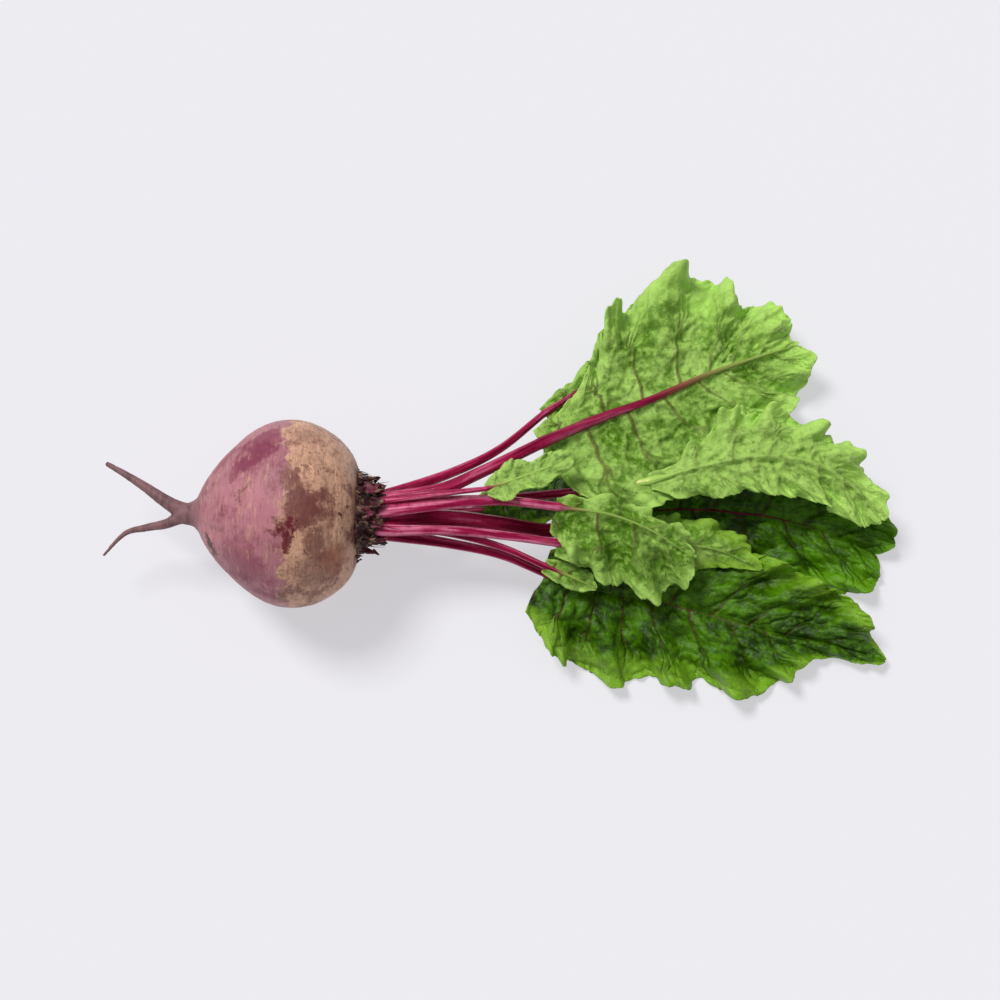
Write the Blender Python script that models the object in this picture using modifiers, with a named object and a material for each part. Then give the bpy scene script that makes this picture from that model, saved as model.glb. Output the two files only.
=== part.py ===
"""One beetroot with its leaves on, lying on its side on a flat surface.

Metres, +Z up. The root's axis runs along X at mid height, with the tail at -X and the leaves at +X.
The origin is on the surface, under the widest ring of the root, at the middle of the small flat that it
rests on. Points and lengths below are in millimetres from there.
"""

import math

import bmesh
import bpy
import numpy as np
from mathutils import Vector
from mathutils.bvhtree import BVHTree

MM = 0.001
GAP = 0.3  # left between touching pieces

# The swollen root: the height of its axis, and its outline as (distance along the axis, radius).
AXIS_HEIGHT = 40.0
ROOT_OUTLINE = (
    (27.5, 0.0), (27.5, 15.5), (26.8, 20.5), (24.5, 26.0), (20.0, 31.5), (13.5, 36.3), (6.0, 39.5),
    (-1.5, 40.3), (-9.0, 39.2), (-16.0, 36.0), (-23.0, 31.0), (-30.0, 24.3), (-35.2, 18.6),
    (-38.7, 12.4), (-41.0, 7.3), (-44.0, 4.8), (-48.5, 4.2), (-50.2, 2.5), (-50.2, 0.0),
)  # fmt: skip
ROOT_SIDES = 40

# The two tails that the tap root forks into: points along each, and the radius at both of its ends.
TAILS = (
    (((-45, 1, 40), (-50, 2.5, 40), (-56, 6, 40), (-63, 11, 39), (-72, 17, 37), (-82, 23, 35)), (3.2, 1.0)),
    (((-45, -1, 40), (-50, -2, 39), (-56, -4, 37), (-65, -5, 33), (-74, -7, 30), (-84, -16, 25)), (2.5, 0.6)),
)

# The crown: the stump that the leaves grow from, as (distance along the axis, radius).
CROWN_OUTLINE = (
    (40.0, 0.0), (40.0, 11.4), (39.2, 12.0), (35.6, 12.2), (28.6, 17.4), (27.8, 16.8), (27.8, 0.0),
)  # fmt: skip
CROWN_SIDES = 28

# Stubs of old leaf stalks in two rings on the crown's cone: distance along the axis, count, first turn.
STUB_RINGS = ((30.6, 8, 10.0), (34.2, 8, 32.0))
STUB_LENGTH = 4.5
STUB_RADII = (2.2, 0.8)

STALK_START = 40.0 + GAP
STRAIGHT_START = 1.5  # how far a tube runs along X before it turns
BLADE_THICKNESS = 0.9  # beside the rib it is RIB_THICKENING times as much
RIB_THICKENING = 2.2
BLADE_START = 0.6  # past the gap at the stalk's end
BLADE_GRID = (12, 8)  # cells along the rib, and across from margin to margin
BLADE_CLEARANCE = 1.3  # between a blade and what it lies on
SETTLE_SAMPLES = 7  # places tried along each side of a blade's cell
FLOOR_CLEARANCE = 0.75  # from a blade's middle surface to the floor
VEIN_ANGLES = (112.0, 34.0)  # between a side vein and the rib, at the blade's base and at its tip
VEIN_BEND = 26.0  # how far a side vein turns forward on its way to the margin
BASE_TURN = 30.0  # the most that a side vein may point back, more the further out, clear of the stalk

# The leaves, from the lowest to the topmost. stalk: points from the crown to the blade. rib: on to the tip.
# radii: the stalk's at both ends. left, right: lengths of the side veins at even steps along the rib.
# slope: of the left and right half, beside the rib. droop: how far each margin falls below that, as a
# share of its vein's length. ruffle: height, waves on a side, and their phase left and right, in turns.
LEAVES = {
    "01": dict(
        stalk=((STALK_START, 8.5, 38.5), (68, 18.5, 39), (88, 29.5, 35), (107, 47, 25)),
        rib=((130, 65, 15), (142, 80, 11), (150, 93, 8), (154, 105, 5)),
        radii=(2.0, 1.5),
        left=(4, 9, 12, 13, 12, 10, 6), right=(8, 22, 30, 32, 28, 20, 8),
        slope=(-0.1, -0.1), droop=(0.15, 0.15), ruffle=(1.6, 3.0, 0.2, 0.9),
        over=(),
    ),
    "10": dict(
        stalk=((STALK_START, 1.0, 34), (60, 3, 26), (76, 6, 15)),
        rib=((94, 9, 8), (114, 15, 5.5), (136, 23, 4)),
        radii=(1.7, 1.3),
        left=(5, 10, 12, 11, 6), right=(5, 9, 10, 8, 5),
        slope=(-0.1, -0.1), droop=(0.2, 0.2), ruffle=(0.9, 2.5, 0.3, 0.8),
        over=("leaf_blade_01",),
    ),
    "06": dict(
        stalk=((STALK_START, -2.8, 42.6), (66, -1.2, 36), (88, -2.3, 28), (112, -3.4, 17), (141, 5, 8)),
        rib=((158, 7, 6.5), (176, 7.5, 6), (209, 4, 6), (236, -4, 5.5), (253, -12, 5)),
        radii=(2.9, 2.2),
        left=(8, 30, 40, 40, 32, 14), right=(8, 26, 36, 40, 32, 14),
        slope=(0.0, 0.0), droop=(0.1, 0.1), ruffle=(1.8, 4.0, 0.7, 0.2),
        over=("leaf_blade_01", "leaf_blade_10"),
    ),
    "07": dict(
        stalk=((STALK_START, -8.6, 39), (66, -11.5, 32), (88, -15.5, 26), (107, -22.5, 19)),
        rib=((123, -27, 13), (140, -31, 10), (158, -34, 9), (184, -41, 8.5), (206, -47, 8), (232, -52, 7),
             (256, -59, 5)),
        radii=(2.4, 1.9),
        left=(10, 22, 30, 38, 38, 20, 9), right=(18, 34, 38, 33, 32, 14, 9),
        slope=(0.3, -0.1), droop=(0.05, 0.1), ruffle=(2.4, 4.4, 0.35, 0.8),
        over=("leaf_blade_06", "leaf_stalk_06"),
    ),
    "08": dict(
        stalk=((STALK_START, -4.2, 36.0), (66, -7.8, 37.6), (88, -12.9, 32), (107, -20.4, 26.5)),
        rib=((116, -24, 26), (123, -27, 25.5), (129, -30, 25)),
        radii=(1.9, 1.4),
        left=(3, 6, 7, 5, 3), right=(3, 5, 6, 4, 3),
        slope=(-0.1, -0.1), droop=(0.1, 0.1), ruffle=(0.8, 2.0, 0.2, 0.6),
        over=("leaf_blade_07",),
    ),
    "09": dict(
        stalk=((STALK_START, -7.9, 45), (66, -7.5, 42), (88, -8.6, 36.5), (112, -11, 31)),
        rib=((140, -12, 27), (166, -11, 22), (186, -14, 18), (201, -21, 15)),
        radii=(2.0, 2.0),
        left=(6, 12, 15, 14, 6), right=(6, 12, 14, 9, 5),
        slope=(0.0, 0.0), droop=(0.1, 0.1), ruffle=(1.2, 2.5, 0.5, 0.0),
        over=("leaf_blade_07", "leaf_blade_08", "leaf_blade_06", "leaf_stalk_06"),
    ),
    "02": dict(
        stalk=((STALK_START, 5.5, 45), (62, 9, 48), (79, 16.5, 47), (105, 30.5, 41)),
        rib=((131, 43, 34), (153, 52, 30), (174, 62, 27), (188, 68, 25), (204, 74, 22), (219, 79, 19)),
        radii=(2.5, 2.3),
        left=(6, 18, 54, 50, 36, 26, 13), right=(10, 34, 44, 40, 34, 26, 12),
        slope=(0.05, -0.05), droop=(0.1, 0.0), ruffle=(3.0, 3.6, 0.3, 0.6),
        over=("leaf_blade_01", "leaf_blade_06", "leaf_blade_10", "leaf_stalk_03", "leaf_stalk_01"),
    ),
    "03": dict(
        stalk=((STALK_START, 3, 40), (66, 5.2, 42), (88, 6.2, 41), (112, 9.5, 36), (131, 12, 33), (152, 15, 33)),
        rib=((174, 21, 38), (198, 25, 40), (222, 23, 37), (240, 14, 31), (253, 0, 25)),
        radii=(2.4, 1.8),
        left=(4, 11, 23, 22, 19, 15, 10), right=(4, 14, 18, 22, 22, 18, 10),
        slope=(0.0, -0.1), droop=(0.15, 0.1), ruffle=(2.4, 4.0, 0.5, 0.1),
        over=("leaf_blade_02", "leaf_blade_06", "leaf_blade_07"),
    ),
    "05": dict(
        stalk=((STALK_START, 0, 48), (62, 2, 51), (88, 4, 50), (112, 2, 47)),
        rib=((135, -1, 44), (154, -8, 40), (170, -18, 35)),
        radii=(2.4, 2.0),
        left=(3, 5, 8, 12, 8), right=(10, 30, 32, 26, 12),
        slope=(-0.3, -0.25), droop=(0.2, 0.15), ruffle=(2.2, 3.0, 0.1, 0.4),
        over=(
            "leaf_blade_02", "leaf_blade_07", "leaf_blade_08", "leaf_blade_09", "leaf_blade_06",
            "leaf_stalk_09", "leaf_stalk_08", "leaf_stalk_06", "leaf_stalk_03",
        ),
    ),
    "04": dict(
        stalk=((STALK_START, 4.2, 49.6), (62, 6, 55), (82, 8, 56)),
        rib=((93, 12, 55), (106, 17, 54), (118, 22, 52)),
        radii=(1.2, 1.0),
        left=(3, 7, 9, 8, 4), right=(3, 7, 9, 8, 4),
        slope=(0.2, 0.2), droop=(0.1, 0.1), ruffle=(0.8, 2.5, 0.0, 0.5),
        over=("leaf_stalk_02", "leaf_stalk_05", "leaf_blade_02"),
    ),
}  # fmt: skip

# sRGB colour and roughness of each kind of piece.
FINISHES = {
    "root": ((0.47, 0.22, 0.30), 0.55),
    "crown": ((0.20, 0.09, 0.10), 0.8),
    "stub": ((0.25, 0.08, 0.12), 0.7),
    "stalk": ((0.56, 0.10, 0.30), 0.35),
    "blade": ((0.33, 0.55, 0.18), 0.5),
}


def clear_scene():
    for ob in list(bpy.data.objects):
        bpy.data.objects.remove(ob, do_unlink=True)


def make_collection(name):
    collection = bpy.data.collections.new(name)
    bpy.context.scene.collection.children.link(collection)
    return collection


def material(name, kind):
    """A plain material in the colour of that kind of piece."""
    colour, roughness = FINISHES[kind]
    mat = bpy.data.materials.new(name)
    mat.use_nodes = True
    shader = mat.node_tree.nodes["Principled BSDF"]
    linear = [c / 12.92 if c <= 0.04045 else ((c + 0.055) / 1.055) ** 2.4 for c in colour]
    shader.inputs["Base Color"].default_value = (*linear, 1.0)
    shader.inputs["Roughness"].default_value = roughness
    shader.inputs["Metallic"].default_value = 0.0
    return mat


def add_object(name, data, kind, collection):
    ob = bpy.data.objects.new(name, data)
    if kind:
        data.materials.append(material(name, kind))
    collection.objects.link(ob)
    return ob


def evaluated_mesh(ob):
    """A mesh of the object as its modifiers leave it, in world space."""
    graph = bpy.context.evaluated_depsgraph_get()
    graph.update()
    mesh = bpy.data.meshes.new_from_object(ob.evaluated_get(graph))
    mesh.transform(ob.matrix_world)
    return mesh


def spline(values, steps):
    """A smooth curve through values at even steps from 0 to 1, read at each of steps."""
    v = np.array(values, dtype=float)
    v = np.concatenate([[2 * v[0] - v[1]], v, [2 * v[-1] - v[-2]]])
    at = np.clip(steps, 0.0, 1.0) * (len(values) - 1)
    i = np.minimum(at.astype(int), len(values) - 2)
    t = (at - i).reshape(at.shape + (1,) * (v.ndim - 1))
    a, b, c, d = v[i], v[i + 1], v[i + 2], v[i + 3]
    return 0.5 * (2 * b + (c - a) * t + (2 * a - 5 * b + 4 * c - d) * t**2 + (3 * b - a - 3 * c + d) * t**3)


def turned(name, outline, sides, kind, collection):
    """A solid turned about the root's axis from an outline that runs from the leaves' end to the tail's."""
    bm = bmesh.new()
    verts = [bm.verts.new((x * MM, 0.0, radius * MM)) for x, radius in outline]
    for a, b in zip(verts, verts[1:]):
        bm.edges.new((a, b))
    mesh = bpy.data.meshes.new(name)
    bm.to_mesh(mesh)
    bm.free()
    ob = add_object(name, mesh, kind, collection)
    ob.location.z = AXIS_HEIGHT * MM
    screw = ob.modifiers.new("turn", "SCREW")
    screw.axis = "X"
    screw.steps = screw.render_steps = sides
    screw.use_merge_vertices = True
    screw.merge_threshold = 0.00001
    screw.use_smooth_shade = True
    return ob


def tube(name, points, radii, kind, collection, count=12, sides=2):
    """A tapered round tube on a smooth curve through points, which leaves its first one along X."""
    curve = bpy.data.curves.new(name, "CURVE")
    curve.dimensions = "3D"
    curve.bevel_depth = MM
    curve.bevel_resolution = sides
    curve.use_fill_caps = True
    path = curve.splines.new("POLY")
    path.points.add(count)
    steps = np.linspace(0.0, 1.0, count)
    route = spline(points, steps)
    straight = math.copysign(STRAIGHT_START, route[1, 0] - route[0, 0])
    route = np.insert(route, 1, route[0] + (straight, 0.0, 0.0), axis=0)
    for point, at, step in zip(path.points, route, np.insert(steps, 1, 0.0)):
        point.co = (*(at * MM), 1.0)
        point.radius = radii[0] + (radii[1] - radii[0]) * step
    path.use_smooth = True
    return add_object(name, curve, kind, collection)


def curve_to_mesh(ob, collection):
    """Turns a tube into a closed mesh, so that a Boolean can take it."""
    mesh = evaluated_mesh(ob)
    bm = bmesh.new()
    bm.from_mesh(mesh)
    bmesh.ops.remove_doubles(bm, verts=bm.verts, dist=0.00001)
    bm.to_mesh(mesh)
    bm.free()
    solid = add_object(ob.name + "_solid", mesh, None, collection)
    bpy.data.objects.remove(ob, do_unlink=True)
    return solid


def hide_cutter(ob):
    ob.hide_render = True
    ob.display_type = "WIRE"


def boolean(ob, operation, other):
    cut = ob.modifiers.new(operation.lower(), "BOOLEAN")
    cut.operation = operation
    cut.object = other
    cut.solver = "EXACT"


def make_root(parts, cutters):
    """The swollen root with its two tails, cut flat where it rests."""
    root = turned("beet_root", ROOT_OUTLINE, ROOT_SIDES, "root", parts)
    for number, (points, radii) in enumerate(TAILS):
        tail = curve_to_mesh(tube(f"tail_{number}", points, radii, None, cutters, 9, 1), cutters)
        hide_cutter(tail)
        boolean(root, "UNION", tail)
    bpy.ops.mesh.primitive_cube_add(size=100 * MM, location=(0, 0, -50 * MM))
    floor = bpy.context.object
    floor.name = "floor_cutter"
    for collection in list(floor.users_collection):
        collection.objects.unlink(floor)
    cutters.objects.link(floor)
    hide_cutter(floor)
    boolean(root, "DIFFERENCE", floor)
    return root


def make_stubs(parts):
    """Short tapered stubs that stand out from the crown's cone in two staggered rings."""
    (x0, r0), (x1, r1) = CROWN_OUTLINE[4], CROWN_OUTLINE[3]
    lean = math.atan2(x0 - x1, r1 - r0) + math.pi / 2  # of the cone's outward normal from straight out
    number = 0
    for x, count, first in STUB_RINGS:
        radius = r0 + (r1 - r0) * (x - x0) / (x1 - x0)
        for k in range(count):
            turn = math.radians(first + 360.0 * k / count)
            out = Vector((0.0, math.cos(turn), math.sin(turn)))
            normal = (out * (x1 - x0) + Vector((r0 - r1, 0, 0))).normalized()
            foot = Vector((x, 0, AXIS_HEIGHT)) + out * radius
            number += 1
            name = f"old_leaf_base_{number:02d}"
            bpy.ops.mesh.primitive_cone_add(
                vertices=10, radius1=STUB_RADII[0] * MM, radius2=STUB_RADII[1] * MM, depth=STUB_LENGTH * MM,
                location=(foot + normal * (STUB_LENGTH / 2 + 0.5)) * MM,
                rotation=normal.to_track_quat("Z", "Y").to_euler(),
            )  # fmt: skip
            stub = bpy.context.object
            stub.name = name
            stub.data.materials.append(material(name, "stub"))
            for collection in list(stub.users_collection):
                collection.objects.unlink(stub)
            parts.objects.link(stub)


def blade_points(leaf, along, across):
    """Where the blade's middle surface lies, in mm.

    along runs from 0 at the blade's base to 1 at its tip. across runs from -1 at the left margin over 0
    on the rib to 1 at the right margin, and follows the side veins.
    """
    rib = (leaf["stalk"][-1],) + leaf["rib"]
    centre = spline(rib, along)
    ahead = spline(rib, along + 0.01) - spline(rib, along - 0.01)
    ahead /= np.linalg.norm(ahead, axis=1)[:, None]
    aside = np.cross((0.0, 0.0, 1.0), ahead)
    aside /= np.linalg.norm(aside, axis=1)[:, None]
    up = np.cross(ahead, aside)
    left = across < 0
    out = np.abs(across)
    taper = np.sqrt(1.0 - along**6)
    length = np.where(left, spline(leaf["left"], along), spline(leaf["right"], along)) * taper
    slope, droop = (np.where(left, *leaf[key]) for key in ("slope", "droop"))
    height, waves, left_phase, right_phase = leaf["ruffle"]
    angle = VEIN_ANGLES[0] + (VEIN_ANGLES[1] - VEIN_ANGLES[0]) * along**0.8 - VEIN_BEND * out / 2
    angle = np.radians(np.minimum(angle, 90.0 + BASE_TURN * out))
    forward = out * length * np.cos(angle)
    sideways = out * length * np.sin(angle)
    phase = 2 * math.pi * (waves * along + np.where(left, left_phase, right_phase))
    rise = slope * sideways - droop * out * sideways + height * taper * out**1.5 * np.sin(phase)
    return (
        centre
        + ahead * forward[:, None]
        + aside * np.where(left, sideways, -sideways)[:, None]
        + up * rise[:, None]
    )


def settle(points, faces, below):
    """Lifts a blade's points, in mm, off the floor and off the solids below it, gently about each touch."""
    need = np.maximum(FLOOR_CLEARANCE - points[:, 2], 0.0)
    shares = np.linspace(0.0, 1.0, SETTLE_SAMPLES)
    weights = [(a, b) for a in shares for b in shares]
    for face in faces:
        p = points[list(face)]
        for a, b in weights:
            at = (1 - b) * ((1 - a) * p[0] + a * p[1]) + b * ((1 - a) * p[3 % len(p)] + a * p[2])
            for tree in below:
                hit = tree.ray_cast(Vector((at[0] * MM, at[1] * MM, 1.0)), Vector((0, 0, -1)))[0]
                if hit is not None:
                    lift = hit.z / MM + BLADE_CLEARANCE + BLADE_THICKNESS / 2 - at[2]
                    for corner in face:
                        need[corner] = max(need[corner], lift)
    lift = need.copy()
    for _ in range(6):
        spread = np.zeros_like(lift)
        count = np.zeros_like(lift)
        for face in faces:
            for corner in face:
                spread[corner] += lift[list(face)].mean()
                count[corner] += 1
        lift = np.maximum(need, 0.9 * spread / count)
    return points + np.outer(lift, (0.0, 0.0, 1.0))


def make_blade(number, leaf, parts, trees):
    """A blade: a grid laid along the rib and the side veins, settled on the leaves below and thickened."""
    name = f"leaf_blade_{number}"
    bm = bmesh.new()
    bmesh.ops.create_grid(bm, x_segments=BLADE_GRID[0], y_segments=BLADE_GRID[1], size=1.0)
    bm.verts.ensure_lookup_table()
    flat = np.array([v.co for v in bm.verts])
    along = (flat[:, 0] + 1) / 2
    across = -flat[:, 1]
    start = (GAP + BLADE_START) / np.linalg.norm(np.subtract(leaf["rib"][0], leaf["stalk"][-1]))
    along = np.maximum(along, start / len(leaf["rib"]))
    points = blade_points(leaf, along, across)
    faces = [[v.index for v in face.verts] for face in bm.faces]
    points = settle(points, faces, [trees[other] for other in leaf["over"]])
    for vert, point in zip(bm.verts, points):
        vert.co = point * MM
    mesh = bpy.data.meshes.new(name)
    bm.to_mesh(mesh)
    ribs = [v.index for v, a in zip(bm.verts, across) if abs(a) < 0.01]
    bm.free()
    ob = add_object(name, mesh, "blade", parts)
    group = ob.vertex_groups.new(name="thick")
    group.add(list(range(len(mesh.vertices))), 1.0 / RIB_THICKENING, "REPLACE")
    group.add(ribs, 1.0, "REPLACE")
    weld = ob.modifiers.new("tip", "WELD")
    weld.merge_threshold = 0.00001
    skin = ob.modifiers.new("thickness", "SOLIDIFY")
    skin.thickness = BLADE_THICKNESS * RIB_THICKENING * MM
    skin.offset = 0.0
    skin.vertex_group = "thick"
    return ob


def world_tree(ob):
    mesh = evaluated_mesh(ob)
    mesh.calc_loop_triangles()
    tree = BVHTree.FromPolygons([v.co for v in mesh.vertices], [t.vertices for t in mesh.loop_triangles])
    bpy.data.meshes.remove(mesh)
    return tree


def make_leaves(parts):
    trees = {}
    for number, leaf in LEAVES.items():
        name = f"leaf_stalk_{number}"
        trees[name] = world_tree(tube(name, leaf["stalk"], leaf["radii"], "stalk", parts))
    for number, leaf in LEAVES.items():
        trees[f"leaf_blade_{number}"] = world_tree(make_blade(number, leaf, parts, trees))


def main():
    clear_scene()
    parts = make_collection("beetroot")
    cutters = make_collection("cutters")
    make_root(parts, cutters)
    turned("crown", CROWN_OUTLINE, CROWN_SIDES, "crown", parts)
    make_stubs(parts)
    make_leaves(parts)


main()
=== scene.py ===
"""The looks of a beetroot with its leaves on: root, crown, stalks and ruffled blades, on a pale floor."""

import math

import bpy
import numpy as np
from bpy.props import FloatProperty, FloatVectorProperty, IntProperty, PointerProperty
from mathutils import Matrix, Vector, noise


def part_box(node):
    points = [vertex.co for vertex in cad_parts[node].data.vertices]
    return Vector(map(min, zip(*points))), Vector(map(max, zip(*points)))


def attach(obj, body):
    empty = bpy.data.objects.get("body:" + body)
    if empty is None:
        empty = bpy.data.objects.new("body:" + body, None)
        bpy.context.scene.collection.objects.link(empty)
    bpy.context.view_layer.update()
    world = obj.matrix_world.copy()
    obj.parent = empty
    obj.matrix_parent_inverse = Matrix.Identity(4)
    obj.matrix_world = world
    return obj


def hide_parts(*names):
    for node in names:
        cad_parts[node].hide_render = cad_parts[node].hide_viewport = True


bl_info = {
    "name": "Beetroot with leaves",
    "version": (1, 0, 0),
    "blender": (4, 5, 0),
    "location": "View3D > Sidebar > Beetroot",
    "description": "Builds a beetroot with its stalks and ruffled leaves",
    "category": "Add Mesh",
}

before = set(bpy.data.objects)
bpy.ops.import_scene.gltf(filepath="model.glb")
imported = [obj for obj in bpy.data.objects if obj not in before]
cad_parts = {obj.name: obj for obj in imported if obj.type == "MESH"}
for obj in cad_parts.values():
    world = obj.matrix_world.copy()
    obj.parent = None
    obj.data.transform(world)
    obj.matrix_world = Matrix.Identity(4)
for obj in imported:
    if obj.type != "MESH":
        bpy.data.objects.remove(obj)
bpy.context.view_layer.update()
BODY = "root"
MM = 0.001

AXIS_HEIGHT = 40.0  # of the root's axis over the floor; these and all points below are in mm
# The root's outline: distance along its axis and radius, from the crown to the neck of the tap root.
ROOT_OUTLINE = (
    (28.6, 0.0), (28.4, 8.0), (27.9, 15.5), (26.8, 20.5), (24.5, 26.0), (20.0, 31.5), (13.5, 36.3),
    (6.0, 39.4), (-1.5, 40.2), (-9.0, 39.1), (-16.0, 36.0), (-23.0, 31.0), (-30.0, 24.6), (-35.2, 18.6),
    (-38.7, 12.8), (-41.0, 7.9), (-44.0, 5.2), (-48.5, 4.3), (-50.6, 2.2), (-50.8, 0.0),
)  # fmt: skip
# The two tails of the tap root: points along each, and the radius at both ends.
TAILS = (
    (((-43, 0, 40), (-50, 2.5, 40), (-56, 6, 40), (-63, 11, 39), (-72, 17, 37), (-82, 23, 35)), (4.0, 1.1)),
    (((-43, 0, 40), (-50, -2, 39), (-56, -4, 37), (-65, -5, 33), (-74, -7, 30), (-84, -16, 25)), (3.2, 0.65)),
)
# The crown's outline, from the middle of its front to the root's shoulder, a little over the CAD's gaps.
CROWN_OUTLINE = (
    (40.8, 0.0), (39.9, 4.8), (38.4, 8.0), (35.6, 10.0), (32.0, 12.4), (28.8, 15.6), (26.6, 18.2),
    (25.0, 0.0),
)  # fmt: skip

# Where scales stand: distance along the axis and radius, from the root's shoulder to the crown's front.
SCALE_LINE = ((26.0, 21.6), (27.2, 19.0), (28.8, 15.6), (32.0, 12.4), (35.6, 10.0), (38.4, 8.0), (39.9, 4.8))

VEIN_ANGLES = (112.0, 34.0)  # between a side vein and the rib, at the blade's base and at its tip
VEIN_BEND = 26.0  # how far a side vein turns forward on its way to the margin
BASE_TURN = 30.0  # the most that a side vein may point back, more the further out
VEIN_SPACING = 15.0  # between side veins, along the rib
NET_CELLS = (9.5, 4.8)  # of the two nets of small veins
QUILT = 1.5  # how far the blade swells between its side veins
PUCKERS = (1.7, 0.8)  # how far it swells inside the cells of each net
SMALLER_WAVES = (0.41, 0.17)  # lengths of the two smaller kinds of waves, as shares of the largest
BIG_LOBE = 0.1  # height of the large lobes, as a share of the vein's length
SMALL_LOBES = (1.5, 0.8)  # heights of the two smaller kinds of lobes
CRUMPLE = 0.75  # height of each of the waves that crumple a blade
CRUMPLE_WAVES = 6
CRUMPLE_LENGTHS = (10, 26)
BLADE_CLEARANCE = 0.9  # between a blade's middle and what it lies on
SETTLE_PASSES = 160  # the more, the gentler a blade rises over what it touches
STALK_START = 39.6  # of the stalks, along the root's axis

BLADE_SEED = 300
STUB_SEED = 40
SCALE_SEED = 100
CROWN_SEED = 7
MERGE_DISTANCE = 0.000004  # in metres
NOISE = ("Vector", "Scale", "Detail", "Roughness")  # the inputs that a noise texture is given

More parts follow.
